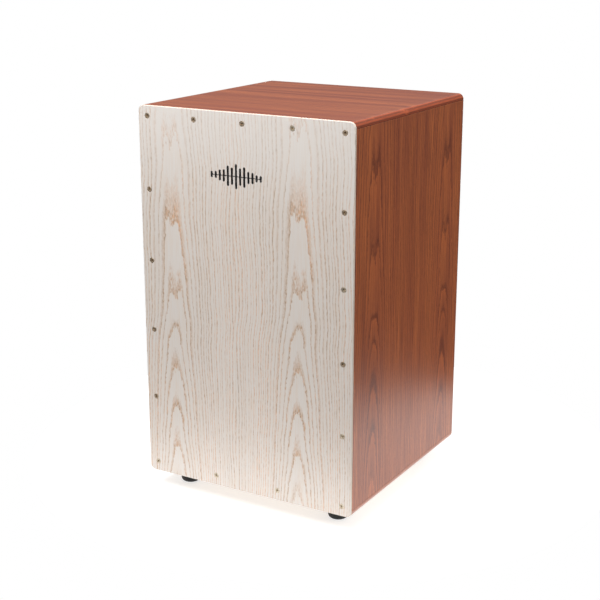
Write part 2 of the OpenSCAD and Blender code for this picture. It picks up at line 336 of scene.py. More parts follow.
def ash_figure(nodes, across, along, leaf):
    """The figure of crown-cut ash veneer, laid as repeated leaves of one log.

    A leaf gives the place of one middle (centre), the width of each leaf and how far the
    next one slips along the grain, a seed, how far the middle wanders, the width of a ring,
    the count at the turn (start), the height where the arches draw apart (turn), and, as
    shares, the width of the line in its ring (line), the strength of its inside (fill) and
    its strength between the flecks (solid).

    Returns the strength of the open-pored line at each ring, the smooth late wood before the
    next line, the fine dashes of the pores, and a slow change of tone, each from 0 to 1.
    """
    inside, run = leaf_place(nodes, across, along, leaf)
    grain = nodes.point(inside, run, leaf["seed"])
    rings = ring_count(nodes, grain, inside, run, leaf)
    part = nodes.calc("FRACT", rings)
    line = ring_line(nodes, grain, part, nodes.calc("FLOOR", rings), leaf)
    late = nodes.ramp(part, 0.55, 0.95)
    pores = nodes.ramp(nodes.noise(grain, (1500, 120, 1), 2.0, 0.6), 0.42, 0.62)
    slow = nodes.noise(grain, (16, 3.0, 1), 3.0)
    return line, late, pores, slow


def ash_white():
    """Whitewashed ash: the white coat hides the wood, the open pores keep a tan colour, and a
    painted highlight lightens the top.
    """
    nodes = Nodes("ash_white", Coat_Weight=0.6, Coat_Roughness=0.3, Specular_IOR_Level=0.3)
    leaf = {"centre": -104 * MM, "width": 180 * MM, "slip": 25 * MM, "seed": 3.7,
            "wander": 6 * MM, "ring": 3.6 * MM, "start": -0.04, "turn": 250 * MM,
            "line": 0.5, "fill": 0.6, "solid": 0.38}
    line, late, pores, slow = ash_figure(nodes, nodes.axes[X], nodes.axes[Z], leaf)
    fine = nodes.noise(nodes.place, (520, 1, 26), 3.0, 0.6)
    base = nodes.mix(slow, tone(230, 223, 217), tone(219, 211, 204))
    base = nodes.mix(nodes.ramp(fine, 0.35, 0.75, 0.0, 0.45), base, tone(222, 203, 184))
    tan = nodes.mix(nodes.ramp(slow, 0.35, 0.65), tone(230, 182, 144), tone(204, 174, 148))
    colour = nodes.mix(line, base, tan)
    dashes = nodes.calc("MULTIPLY", nodes.calc("MULTIPLY", pores, line), 0.75)
    colour = nodes.mix(dashes, colour, tone(154, 130, 110))
    # Painted highlight: the face is mixed lighter towards the tapa's top, where the overhead
    # light falls
    top_sheen = nodes.ramp(nodes.axes[Z], TOP_SHEEN_START, TOP_SHEEN_END, 0.0, TOP_SHEEN_SHARE)
    colour = nodes.mix(top_sheen, colour, tone(234, 229, 224))
    height = nodes.calc("ADD", line, nodes.calc("MULTIPLY", pores, 0.5))
    nodes.bump(nodes.calc("SUBTRACT", 1.0, height), PORE_DEPTH, 0.5)
    return nodes.finish(colour, nodes.ramp(fine, 0.2, 0.8, 0.40, 0.52))


def ash_stained(name, across, along, leaf, painted_shade=0.0):
    """Ash veneer under a red-brown stain: dark in the pores, and orange in the late wood.

    The last argument is how strongly the broad bands are mixed a darker red: painted shade, which
    only the top panel gets.
    """
    nodes = Nodes(name, Coat_Weight=0.82, Coat_Roughness=0.31, Specular_IOR_Level=0.15)
    line, late, pores, slow = ash_figure(nodes, nodes.axes[across], nodes.axes[along], leaf)
    streak = nodes.grained(along, 520, 12, 4.0, 0.62)
    band = nodes.grained(along, 48, 2.5, 2.0)
    ribbon = nodes.grained(along, 190, 5, 2.0)
    base = nodes.mix(nodes.ramp(band, 0.35, 0.65), tone(160, 87, 53), tone(176, 99, 57))
    base = nodes.mix(nodes.calc("MULTIPLY", late, 0.45), base, tone(204, 112, 60))
    base = nodes.mix(nodes.ramp(slow, 0.45, 0.75, 0.0, 0.4), base, tone(136, 70, 50))
    base = nodes.mix(nodes.ramp(ribbon, 0.50, 0.70, 0.0, 0.35), base, tone(184, 104, 60))
    base = nodes.mix(nodes.ramp(ribbon, 0.50, 0.30, 0.0, 0.30), base, tone(106, 52, 36))
    base = nodes.mix(nodes.ramp(streak, 0.40, 0.62, 0.0, 0.5), base, tone(122, 62, 42))
    # Painted shade: the broad bands are mixed darker red, on the top panel only
    painted_shade_mask = nodes.calc("MULTIPLY", nodes.ramp(band, 0.35, 0.65, 0.1, 1.9), painted_shade)
    base = nodes.mix(painted_shade_mask, base, tone(116, 50, 37))
    colour = nodes.mix(nodes.calc("MULTIPLY", line, 0.75), base, tone(106, 52, 35))
    dashes = nodes.calc("MULTIPLY", nodes.calc("ADD", line, 0.25),
                        nodes.calc("MULTIPLY", pores, 0.5))
    colour = nodes.mix(dashes, colour, tone(78, 36, 25))
    height = nodes.calc("ADD", line, nodes.calc("MULTIPLY", pores, 0.6))
    nodes.bump(nodes.calc("SUBTRACT", 1.0, height), PORE_DEPTH, 0.5)
    return nodes.finish(colour, nodes.ramp(streak, 0.25, 0.75, 0.36, 0.5))


def stained_leaf(centre, width, seed):
    """A leaf of the body's veneer."""
    return {"centre": centre, "width": width, "slip": -12 * MM, "seed": seed,
            "wander": 5 * MM, "ring": 3.9 * MM, "start": 0.1, "turn": 270 * MM,
            "line": 0.5, "fill": 0.8, "solid": 0.6}


def ply_edge(name, axis, low, layer, dark, light, wear, **shader):
    """The cut edge of plywood: layers along one axis, in turn long grain and end grain.

    low is where a layer starts, and layer is its thickness.
    """
    nodes = Nodes(name, **shader)
    steps = nodes.calc("DIVIDE", nodes.calc("SUBTRACT", nodes.axes[axis], low), layer)
    sway = nodes.centred(nodes.noise(nodes.place, (40, 40, 40), 2.0), 0.12)
    steps = nodes.calc("ADD", steps, sway)
    turn = nodes.calc("PINGPONG", steps, 1.0)
    end_grain = nodes.ramp(turn, 0.40, 0.60)
    fibre = nodes.grained(axis, 60, 1500, 4.0, 0.65)
    speck = nodes.noise(nodes.place, (900, 900, 900), 2.0, 0.6)
    amount = nodes.mix(end_grain, fibre, speck)
    colour = nodes.mix(nodes.ramp(amount, 0.3, 0.7, 0.0, 0.5), light, dark)
    colour = nodes.mix(nodes.calc("MULTIPLY", end_grain, 0.75), colour, dark)
    glue = nodes.calc("COMPARE", nodes.calc("FRACT", steps), 0.0, 0.05)
    colour = nodes.mix(nodes.calc("MULTIPLY", glue, 0.35), colour, tone(60, 34, 22))
    rub = nodes.ramp(nodes.noise(nodes.place, (55, 55, 55), 3.0, 0.6), 0.60, 0.72, 0.0, 0.7)
    colour = nodes.mix(rub, colour, wear)
    nodes.bump(amount, 0.08 * MM, 0.5)
    return nodes.finish(colour, nodes.ramp(amount, 0.2, 0.8, 0.42, 0.62))


def plain_wood(name, light, dark, line, along):
    """Planed wood without a finish, with its grain along one axis."""
    nodes = Nodes(name, Specular_IOR_Level=0.25)
    fine = nodes.grained(along, 260, 7, 4.0, 0.65)
    rings = nodes.grained(along, 45, 1.6, 2.0, 0.55)
    bands = nodes.calc("PINGPONG", nodes.calc("MULTIPLY", rings, 14.0), 1.0)
    colour = nodes.mix(nodes.ramp(bands, 0.0, 1.0), light, dark)
    colour = nodes.mix(nodes.ramp(fine, 0.35, 0.7, 0.0, 0.5), colour, line)
    nodes.bump(fine, 0.10 * MM, 0.6)
    return nodes.finish(colour, nodes.ramp(fine, 0.2, 0.8, 0.54, 0.72))


# ---- Metal, rubber and ink -----------------------------------------------------------

def plated_steel(name, bright, dull, roughness):
    """Plated or polished steel with faint stains and scratches."""
    nodes = Nodes(name, Metallic=1.0)
    stain = nodes.noise(nodes.place, (320, 320, 320), 4.0, 0.6)
    scratch = nodes.noise(nodes.place, (2600, 2600, 900), 2.0, 0.5)
    colour = nodes.mix(nodes.ramp(stain, 0.35, 0.7), bright, dull)
    nodes.bump(scratch, 0.02 * MM, 0.4)
    return nodes.finish(colour, nodes.ramp(stain, 0.3, 0.7, roughness, roughness + 0.16))


def foot_rubber():
    """Black moulded rubber with some dust on it."""
    nodes = Nodes("foot_rubber", Specular_IOR_Level=0.4)
    grain = nodes.noise(nodes.place, (1400, 1400, 1400), 3.0, 0.6)
    dust = nodes.noise(nodes.place, (90, 90, 90), 4.0, 0.6)
    colour = nodes.mix(nodes.ramp(dust, 0.45, 0.75, 0.0, 0.6), tone(26, 26, 27), tone(62, 60, 58))
    nodes.bump(grain, 0.05 * MM, 0.6)
    return nodes.finish(colour, nodes.ramp(dust, 0.3, 0.8, 0.48, 0.72))


def ink():
    """Black print, a little uneven."""
    nodes = Nodes("ink", Coat_Weight=0.3, Coat_Roughness=0.3)
    mottle = nodes.noise(nodes.place, (900, 900, 240), 3.0, 0.6)
    colour = nodes.mix(nodes.ramp(mottle, 0.45, 0.85), tone(24, 23, 24), tone(52, 48, 46))
    nodes.bump(mottle, 0.03 * MM, 0.4)
    return nodes.finish(colour, nodes.ramp(mottle, 0.3, 0.8, 0.34, 0.5))


# ---- Mesh building -------------------------------------------------------------------

def loft(bm, rings):
    """Quads between rings of points with equal counts. Returns the first and last ring."""
    made = [[bm.verts.new(p) for p in ring] for ring in rings]
    for low, high in zip(made, made[1:]):
        for i in range(len(low)):
            j = (i + 1) % len(low)
            bm.faces.new((low[i], low[j], high[j], high[i]))
    return made[0], made[-1]


def loft_closed(bm, rings):
    """As loft, with the last ring joined to the first."""
    first, last = loft(bm, rings)
    for i in range(len(first)):
        j = (i + 1) % len(first)
        bm.faces.new((last[i], last[j], first[j], first[i]))


def cap(bm, *rings):
    """Fills the area between an outer ring and the rings inside it."""
    edges = []
    for ring in rings:
        for i in range(len(ring)):
            edges.append(bm.edges.get((ring[i - 1], ring[i])))
    bmesh.ops.triangle_fill(bm, use_beauty=True, edges=edges)


def circle(radius, count, centre=(0.0, 0.0)):
    """Points of a circle in its own plane."""
    turns = [2 * math.pi * i / count for i in range(count)]
    return [(centre[0] + radius * math.cos(t), centre[1] + radius * math.sin(t)) for t in turns]


def round_rect(half, radii, inset, steps, centre):
    """Outline of a rectangle with round corners, drawn in by inset."""
    outline = []
    for i, (sa, sb) in enumerate(((-1, -1), (1, -1), (1, 1), (-1, 1))):
        r = max(radii[i] - inset, LEAST_RADIUS)
        ca = centre[0] + sa * (half[0] - inset - r)
        cb = centre[1] + sb * (half[1] - inset - r)
        for k in range(steps + 1):
            turn = math.pi + (i + k / steps) * math.pi / 2
            outline.append((ca + r * math.cos(turn), cb + r * math.sin(turn)))
    return outline


def edge_profile(outer, inner, arris, steps=3):
    """(inset, level) from the outer face to the inner face, over two rounded arrises."""
    way = math.copysign(1.0, inner - outer)
    half = []
    for k in range(steps + 1):
        turn = k / steps * math.pi / 2
        half.append((arris * (1 - math.sin(turn)), arris * (1 - math.cos(turn))))
    return ([(inset, outer + way * sunk) for inset, sunk in half]
            + [(inset, inner - way * sunk) for inset, sunk in reversed(half)])


def piece_from(bm, name, materials, choose=None, sharp_angle=40.0):
    """An object from a closed mesh, with smooth faces, sharp corners and chosen materials."""
    bmesh.ops.recalc_face_normals(bm, faces=bm.faces)
    mesh = bpy.data.meshes.new(name)
    for face in bm.faces:
        face.smooth = True
        if choose is not None:
            face.material_index = choose(face.normal, face.calc_center_median())
    bm.to_mesh(mesh)
    bm.free()
    mesh.set_sharp_from_angle(angle=math.radians(sharp_angle))
    for material in materials:
        mesh.materials.append(material)
    made = bpy.data.objects.new(name, mesh)
    bpy.context.scene.collection.objects.link(made)
    weighted = made.modifiers.new("weighted_normals", "WEIGHTED_NORMAL")
    weighted.keep_sharp = True
    return made


def stands_for(piece, slot, *nodes):
    """Makes a piece the visible form of CAD nodes."""
    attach(piece, "root")
    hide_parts(*nodes)


def board(name, node, axis, side, materials, choose=None, radii=(0.3 * MM,) * 4,
          arris=PANEL_ARRIS, steps=3, holes=()):
    """A board that fills a CAD node's box. Its outer face looks along axis, on that side.

    A hole is (centre, [(radius, level), ...], through), in the two other axes.
    """
    low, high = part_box(node)
    first, second = [i for i in range(3) if i != axis]
    outer, inner = (high[axis], low[axis]) if side > 0 else (low[axis], high[axis])
    half = ((high[first] - low[first]) / 2, (high[second] - low[second]) / 2)
    centre = ((high[first] + low[first]) / 2, (high[second] + low[second]) / 2)

    def place(outline, level):
        ring = []
        for a, b in outline:
            point = [0.0, 0.0, 0.0]
            point[first], point[second], point[axis] = a, b, level
            ring.append(point)
        return ring

    bm = bmesh.new()
    front, back = loft(bm, [place(round_rect(half, radii, inset, steps, centre), level)
                            for inset, level in edge_profile(outer, inner, arris)])
    front_rings, back_rings = [front], [back]
    for spot, profile, through in holes:
        count = WIDE_HOLE_SIDES if profile[0][0] > WIDE_HOLE_R else HOLE_SIDES
        mouth, end = loft(bm, [place(circle(r, count, spot), level) for r, level in profile])
        front_rings.append(mouth)
        if through:
            back_rings.append(end)
        else:
            cap(bm, end)
    cap(bm, *front_rings)
    cap(bm, *back_rings)
    return piece_from(bm, name, materials, choose)


def turned(bm, profile, matrix, count):
    """The wall of a turned shape. The profile is (radius, height) from its bottom up."""
    rings = [[matrix @ Vector((a, b, height)) for a, b in circle(radius, count)]
             for radius, height in profile]
    return loft(bm, rings)


# ---- Fasteners -----------------------------------------------------------------------

def cross(size, arm, height, matrix):
    """Ring of the twelve corners of a cross recess, size across, with arms so wide."""
    a, b = size / 2, arm / 2
    corner = [(a, -b), (a, b), (b * 1.25, b * 1.25)]
    ring = []
    for quarter in range(4):
        turn = Matrix.Rotation(quarter * math.pi / 2, 3, "Z")
        ring += [matrix @ (turn @ Vector((x, y, height))) for x, y in corner]
    return ring


def screw_outline(head, shank_r, length):
    """(radius, height) of a screw from its point up the thread to the end of its head."""
    root = shank_r * THREAD_ROOT
    level = -length + POINT_LENGTH
    outline = [(POINT_R, -length), (root, level)]
    while level < head[0][1] - 2 * THREAD_PITCH:
        outline += [(shank_r, level + THREAD_PITCH * 0.35), (root, level + THREAD_PITCH * 0.8)]
        level += THREAD_PITCH
    return outline + head


def add_screw(bm, matrix, head, shank_r, length, recess_top, head_r):
    """A cross-head screw with its point towards -Z. head is its (radius, height) outline."""
    point, mouth = turned(bm, screw_outline(head, shank_r, length), matrix, SCREW_SIDES)
    cap(bm, point)
    reach = head_r * 1.1
    top, bottom = loft(bm, [
        cross(reach, reach * 0.30, recess_top, matrix),
        cross(reach * 0.92, reach * 0.24, recess_top - head_r * 0.12, matrix),
        cross(reach * 0.55, reach * 0.12, recess_top - head_r * 0.50, matrix)])
    cap(bm, mouth, top)
    cap(bm, bottom)


def flat_head(head_r, shank_r, height):
    """Outline of a countersunk head, flush with the plane z = 0."""
    return [(shank_r, -height), (head_r, -HEAD_RIM), (head_r, -HEAD_ARRIS),
            (head_r - HEAD_ARRIS, FLUSH)]


def pan_head(head_r, shank_r, height):
    """Outline of a pan head that stands on the plane z = 0."""
    outline = [(shank_r, 0.0), (head_r, 0.0), (head_r, height * 0.35)]
    for k in range(1, 5):
        turn = k / 5 * math.pi / 2
        outline.append((head_r * (0.62 + 0.38 * math.cos(turn)),
                        height * (0.35 + 0.65 * math.sin(turn))))
    return outline


def facing(place, direction, turn=0.0, tilt=0.0):
    """Frame at a place whose +Z looks along direction, turned about it and a little tilted."""
    look = Vector(direction).to_track_quat("Z", "Y").to_matrix().to_4x4()
    return (Matrix.Translation(place) @ look @ Matrix.Rotation(tilt, 4, "X")
            @ Matrix.Rotation(turn, 4, "Z"))


def tapa_screw_spots():
    """(x, z) of each screw of the tapa, worked out from its box as the CAD does."""
    low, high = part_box("tapa")
    x = high.x - SCREW_INSET
    top, bottom = high.z - SCREW_INSET, low.z + SCREW_INSET
    spots = [(x * (2 * i / (TOP_SCREWS - 1) - 1), top) for i in range(TOP_SCREWS)]
    spots += [(x * (2 * i / (BOTTOM_SCREWS - 1) - 1), bottom) for i in range(BOTTOM_SCREWS)]
    pitch = (top - bottom) / (SIDE_SCREWS - 1)
    for side in (-1, 1):
        spots += [(side * x, bottom + i * pitch) for i in range(1, SIDE_SCREWS - 1)]
    return spots


# ---- Pieces --------------------------------------------------------------------------

def make_tapa(finish):
    """The struck plate, with countersunk holes for its screws."""
    low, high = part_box("tapa")
    sink = [(SCREW_HEAD_R + SINK_GAP, low.y),
            (SCREW_HEAD_R + HEAD_ARRIS, low.y + SINK_LIP),
            (SCREW_SHANK_R, low.y + SCREW_HEAD_H + HEAD_ARRIS),
            (SCREW_SHANK_R, high.y)]
    holes = [(spot, sink, True) for spot in tapa_screw_spots()]

    def choose(normal, centre):
        if abs(normal.y) > 0.95:
            return FACE if centre.y < (low.y + high.y) / 2 else INSIDE
        return EDGE
    materials = [finish[key] for key in ("ash_white", "tapa_edge", "raw_ply")]
    made = board("tapa_plate", "tapa", Y, -1, materials, choose, radii=(TAPA_RADIUS,) * 4,
                 arris=TAPA_ARRIS, steps=10, holes=holes)
    stands_for(made, "ash_white", "tapa")


def make_tapa_screws(finish):
    """The tapa's screws, each turned and tilted by chance. Some get a lighter copy of the nickel:
    a painted highlight.
    """
    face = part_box("tapa")[0].y
    chance = random.Random(17)
    bm = bmesh.new()
    head = flat_head(SCREW_HEAD_R, SCREW_SHANK_R, SCREW_HEAD_H)
    for index, (x, z) in enumerate(tapa_screw_spots()):
        matrix = facing((x, face + SCREW_SUNK, z), (0, -1, 0), chance.uniform(0, math.pi),
                        chance.uniform(-SCREW_TILT, SCREW_TILT))
        before = len(bm.faces)
        add_screw(bm, matrix, head, SCREW_SHANK_R, SCREW_LENGTH, FLUSH, SCREW_HEAD_R)
        bm.faces.ensure_lookup_table()
        for made in bm.faces[before:]:
            made.material_index = int(index in HIGHLIT_SCREWS)
    made = piece_from(bm, "tapa_screw_set", [finish["nickel"], finish["nickel_painted_highlight"]],
                      sharp_angle=30.0)
    stands_for(made, "screw_nickel", "tapa_screws")


def make_emblem(finish):
    """Round-ended bars on a thin line, printed on the tapa."""
    low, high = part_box("emblem")
    width, height = high.x - low.x, high.z - low.z
    middle_x, middle_z = (low.x + high.x) / 2, (low.z + high.z) / 2
    bar = width / (2 * EMBLEM_BARS - 1)
    bm = bmesh.new()

    def add(centre_x, wide, tall, radius, proud):
        outline = round_rect((wide / 2, tall / 2), (radius,) * 4, 0.0, 6, (centre_x, middle_z))
        back, front = loft(bm, [[(a, level, b) for a, b in outline]
                                for level in (low.y + EMBLEM_DEPTH, low.y - proud)])
        cap(bm, back)
        cap(bm, front)
    add(middle_x, width - bar, bar / 3, EMBLEM_LINE_RADIUS, EMBLEM_PROUD * 0.8)
    for i in range(EMBLEM_BARS):
        share = i / (EMBLEM_BARS - 1)
        swell = math.sin(math.pi * share) ** 2 * (1 if i % 2 == 0 else EMBLEM_SHORT)
        tall = height * (EMBLEM_END + (1 - EMBLEM_END) * swell)
        add(middle_x + (share - 0.5) * (width - bar), bar, tall, bar * 0.49, EMBLEM_PROUD)
    made = piece_from(bm, "emblem_print", [finish["ink"]])
    stands_for(made, "print_black", "emblem")


def make_capping_panel(node, side, finish):
    """Top or bottom panel: its two long outer edges are rounded through the veneer."""
    low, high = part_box(node)
    outer = high.z if side > 0 else low.z
    radii = ((PANEL_ARRIS,) * 2 + (PANEL_RADIUS,) * 2 if side > 0
             else (PANEL_RADIUS,) * 2 + (PANEL_ARRIS,) * 2)

    def choose(normal, centre):
        if abs(normal.y) > 0.5:
            return EDGE
        if normal.z * side < -0.9:
            return INSIDE
        veneer = abs(outer - centre.z) < VENEER and normal.z * side > 0.5
        return FACE if veneer else EDGE
    edge = "ply_level" if side > 0 else "ply_base"
    materials = [finish[key] for key in ("ash_top", edge, "raw_ply")]
    made = board(node + "_board", node, Y, 1, materials, choose, radii=radii, steps=14)
    stands_for(made, "ash_stained", node)


def make_side_panel(node, side, finish):
    """Left or right panel. Its ends show as dark joints with the top and the bottom."""
    low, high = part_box(node)

    def choose(normal, centre):
        if abs(normal.x) > 0.9:
            return FACE if normal.x * side > 0 else INSIDE
        joint = min(centre.z - low.z, high.z - centre.z) < PANEL_ARRIS
        return JOINT if joint else EDGE
    materials = [finish[key] for key in ("ash_side", "ply_upright", "raw_ply", "joint")]
    made = board(node + "_board", node, X, side, materials, choose)
    stands_for(made, "ash_stained", node)


def make_back_panel(finish):
    """Back panel with the round-edged sound hole."""
    low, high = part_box("back_panel")
    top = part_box("top_panel")[1].z
    outside = [(HOLE_R + inset, level)
               for inset, level in edge_profile(high.y, low.y, HOLE_ARRIS, 4)]
    holes = [((0.0, top - HOLE_DROP), outside, True)]

    def choose(normal, centre):
        if abs(normal.y) < 0.9:
            return EDGE
        return FACE if normal.y > 0 else INSIDE
    materials = [finish[key] for key in ("ash_back", "ply_hole", "raw_ply")]
    made = board("back_panel_board", "back_panel", Y, 1, materials, choose, holes=holes)
    stands_for(made, "ash_stained", "back_panel")


def frame_wood_nodes():
    """Names of the CAD nodes of the frame's woods."""
    sides = ("top", "bottom", "left", "right")
    names = [f"{place}_batten_{side}" for place in ("front", "rear") for side in sides]
    names += [f"cleat_{level}_{side}" for level in sides[:2] for side in sides[2:]]
    return names + ["seat_brace"]


def make_frame_woods(finish):
    """Battens, cleats and brace, each with its grain along its longest side.

    The front battens have the pilot holes of the tapa's screws.
    """
    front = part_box("tapa")[1].y
    pilot = [(SCREW_SHANK_R, front), (SCREW_SHANK_R, front + PILOT_DEPTH)]
    for node in frame_wood_nodes():
        low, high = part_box(node)
        size = high - low
        along = max(range(3), key=lambda i: size[i])
        axis, side = (Y, -1) if along != Y else (Z, 1)
        holes = []
        if node.startswith("front"):
            holes = [((x, z), pilot, False) for x, z in tapa_screw_spots()
                     if low.x < x < high.x and low.z < z < high.z]
        made = board(node + "_wood", node, axis, side, [finish["pine"][along]],
                     arris=BATTEN_ARRIS, radii=(BATTEN_ARRIS,) * 4, holes=holes)
        stands_for(made, "batten_wood", node)


def dress(node, material, width, segments):
    """Gives a CAD part that keeps its own shape a material and soft corners."""
    part = bpy.data.objects[node]
    part.data.materials.clear()
    part.data.materials.append(material)
    bevel = part.modifiers.new("soft_corners", "BEVEL")
    bevel.width = width
    bevel.segments = segments
    bevel.limit_method = "ANGLE"
    bevel.angle_limit = math.radians(60)
    bevel.harden_normals = True


def dress_snare_parts(finish):
    """The planed bar, and the pressed plates and strips that the wires are soldered to."""
    dress("snare_bar", finish["beech"], BATTEN_ARRIS, 3)
    for part in ("snare_plate", "snare_strip"):
        for side in ("left", "right"):
            dress(f"{part}_{side}", finish["spring"], SHEET_ARRIS, 2)


def snare_frame():
    """Frame of the snares, as in the CAD: -Y looks at the tapa, and -Z runs down the wires."""
    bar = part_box("snare_bar")
    gap = bar[0].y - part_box("tapa")[1].y
    lean = math.asin((gap + SNARE_BEVEL - SNARE_PLATE - 2 * COIL_R) / SNARE_DROP)
    place = Vector((0.0, bar[0].y + SNARE_BEVEL, (bar[0].z + bar[1].z) / 2))
    return Matrix.Translation(place) @ Matrix.Rotation(-lean, 4, "X")


def tube(bm, path, radius, sides=5):
    """A closed tube along a list of points."""
    rings = []
    for i, point in enumerate(path):
        ahead, behind = path[min(i + 1, len(path) - 1)], path[max(i - 1, 0)]
        run = (ahead - behind).normalized()
        across = run.cross(Vector((0, 1, 0)) if abs(run.y) < 0.9 else Vector((1, 0, 0)))
        across.normalize()
        other = run.cross(across)
        rings.append([point + across * a + other * b for a, b in circle(radius, sides)])
    first, last = loft(bm, rings)
    cap(bm, first)
    cap(bm, last)


def coil_path(x, start):
    """Points down one wire: a straight end, the coil from a starting angle, a straight end."""
    steps = int((SNARE_DROP - 2 * SNARE_LEAD) / COIL_PITCH * COIL_STEPS)
    swing = COIL_R - STRAND_R
    path = [Vector((x, -SNARE_PLATE - STRAND_R, -COIL_R))]
    for k in range(steps + 1):
        turn = 2 * math.pi * k / COIL_STEPS + start
        path.append(Vector((x + swing * math.cos(turn),
                            -SNARE_PLATE - COIL_R + swing * math.sin(turn),
                            -SNARE_LEAD - k * COIL_PITCH / COIL_STEPS)))
    path.append(Vector((x, -SNARE_PLATE - STRAND_R, -SNARE_DROP + COIL_R)))
    return path


def make_snare_wires(side, finish):
    """Ten coiled springs, each with straight ends soldered to the plate and the strip."""
    node = "snare_wires_left" if side < 0 else "snare_wires_right"
    low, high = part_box(node)
    middle = (low.x + high.x) / 2
    pitch = (high.x - low.x - 2 * COIL_R) / (SNARE_WIRES - 1)
    matrix = snare_frame()
    bm = bmesh.new()
    for i in range(SNARE_WIRES):
        x = middle + (i - (SNARE_WIRES - 1) / 2) * pitch
        tube(bm, [matrix @ point for point in coil_path(x, i)], STRAND_R)
    made = piece_from(bm, node + "_coils", [finish["spring"]], sharp_angle=60.0)
    stands_for(made, "snare_steel", node)


def make_snare_screws(finish):
    """The pan-head screws of both plates, in the frame of the snares."""
    chance = random.Random(5)
    bm = bmesh.new()
    head = pan_head(PLATE_HEAD_R, PLATE_SCREW_R, PLATE_HEAD_H)
    for side in (-1, 1):
        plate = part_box("snare_plate_left" if side < 0 else "snare_plate_right")
        middle = (plate[0].x + plate[1].x) / 2
        for x in (-PLATE_SCREW_X, PLATE_SCREW_X):
            spot = Vector((middle + x, -SNARE_PLATE, PLATE_SCREW_Z))
            matrix = snare_frame() @ facing(spot, (0, -1, 0), chance.uniform(0, math.pi))
            add_screw(bm, matrix, head, PLATE_SCREW_R, PLATE_SCREW_LENGTH, PLATE_HEAD_H,
                      PLATE_HEAD_R * PAN_RECESS)
    made = piece_from(bm, "snare_screw_set", [finish["zinc"]], sharp_angle=30.0)
    stands_for(made, "zinc_steel", "snare_screws")


def make_bar_screws(finish):
    """The two long screws that hold the snare bar from behind."""
    low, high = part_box("snare_bar_screws")
    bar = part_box("snare_bar")
    bm = bmesh.new()
    head = flat_head(BAR_HEAD_R, BAR_SCREW_R, BAR_HEAD_H)
    for side, turn in ((-1, 0.4), (1, 1.1)):
        place = (side * (high.x - BAR_HEAD_R), bar[1].y, (bar[0].z + bar[1].z) / 2)
        matrix = facing(place, (0, 1, 0), turn)
        add_screw(bm, matrix, head, BAR_SCREW_R, high.y - low.y, FLUSH, BAR_HEAD_R)
    made = piece_from(bm, "snare_bar_screw_set", [finish["zinc"]], sharp_angle=30.0)
    stands_for(made, "zinc_steel", "snare_bar_screws")


def foot_radius(level, top):
    """Radius of a foot's slightly conical side at a level above its fillet."""
    share = (level - FOOT_FILLET) / (top - FOOT_FILLET)
    return FOOT_BASE_R + (FOOT_TOP_R - FOOT_BASE_R) * share


def foot_outline(top, well_top):
    """(radius, height) round a foot's section, from the top of its well to its bore."""
    outline = [(FOOT_WELL_R, well_top), (FOOT_WELL_R, FOOT_WELL_ARRIS),
               (FOOT_WELL_R + FOOT_WELL_ARRIS, 0.0)]
    for k in range(FOOT_FILLET_STEPS + 1):
        bend = k / FOOT_FILLET_STEPS * math.pi / 2
        outline.append((FOOT_BASE_R - FOOT_FILLET * (1 - math.sin(bend)),
                        FOOT_FILLET * (1 - math.cos(bend))))
    parting = top - PARTING_DROP
    below, above = parting - PARTING_HALF, parting + PARTING_HALF
    return outline + [
        (foot_radius(below, top), below),
        (foot_radius(parting, top) - PARTING_DEPTH, parting),
        (foot_radius(above, top), above),
        (FOOT_TOP_R - FOOT_TOP_ARRIS * 0.1, top - FOOT_SHOULDER),
        (FOOT_TOP_R - FOOT_TOP_ARRIS, top),
        (FOOT_BORE_R, top), (FOOT_BORE_R, well_top)]


def washer_outline(low, high, rim):
    """(radius, height) round a washer's section."""
    soft = rim - WASHER_ARRIS
    return [(FOOT_BORE_R, low), (soft, low), (rim, low + WASHER_ARRIS),
            (rim, high - WASHER_ARRIS), (soft, high), (FOOT_BORE_R, high)]


def turned_ring(bm, outline, centre, count):
    """A turned shape with a bore, standing at a centre on the floor."""
    loft_closed(bm, [[(a, b, level) for a, b in circle(radius, count, (centre.x, centre.y))]
                     for radius, level in outline])


def make_feet(finish):
    """Moulded rubber feet with a parting line, a washer and a screw up the middle."""
    corners = (("foot_front_left", 0.5), ("foot_front_right", 1.6), ("foot_rear_left", 2.1),
               ("foot_rear_right", 0.9))
    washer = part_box("foot_washers")
    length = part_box("foot_screws")[1].z - washer[0].z
    washers, screws = bmesh.new(), bmesh.new()
    head = pan_head(FOOT_HEAD_R, FOOT_SCREW_R, FOOT_HEAD_H)
    for node, turn in corners:
        low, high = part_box(node)
        middle = (low + high) / 2
        bm = bmesh.new()
        section = foot_outline(high.z, washer[1].z)
        turned_ring(bm, section, middle, FOOT_SIDES)
        made = piece_from(bm, node + "_rubber", [finish["rubber"]])
        stands_for(made, "foot_rubber", node)

        rim = (washer[1].x - middle.x) if middle.x > 0 else (middle.x - washer[0].x)
        section = washer_outline(washer[0].z, washer[1].z, rim)
        turned_ring(washers, section, middle, WASHER_SIDES)
        matrix = facing((middle.x, middle.y, washer[0].z), (0, 0, -1), turn)
        add_screw(screws, matrix, head, FOOT_SCREW_R, length, FOOT_HEAD_H,
                  FOOT_HEAD_R * PAN_RECESS)
    stands_for(piece_from(washers, "foot_washer_set", [finish["zinc"]]), "zinc_steel",
               "foot_washers")
    stands_for(piece_from(screws, "foot_screw_set", [finish["zinc"]], sharp_angle=30.0),
               "zinc_steel", "foot_screws")


# ---- Stage ---------------------------------------------------------------------------

def make_camera(centre):
    """The photo's camera, set back from the object's centre along the photo's line of sight."""
    data = bpy.data.cameras.new("camera")
    data.lens = LENS_MM
    data.clip_start, data.clip_end = 0.05, 60.0
    camera = bpy.data.objects.new("camera", data)
    back = Vector((math.sin(VIEW_AZIMUTH) * math.cos(VIEW_ELEVATION),
                   -math.cos(VIEW_AZIMUTH) * math.cos(VIEW_ELEVATION), math.sin(VIEW_ELEVATION)))
    camera.location = centre + VIEW_OFFSET + back * VIEW_DISTANCE
    camera.rotation_euler = (-back).to_track_quat("-Z", "Y").to_euler()
    bpy.context.scene.collection.objects.link(camera)
    bpy.context.scene.camera = camera


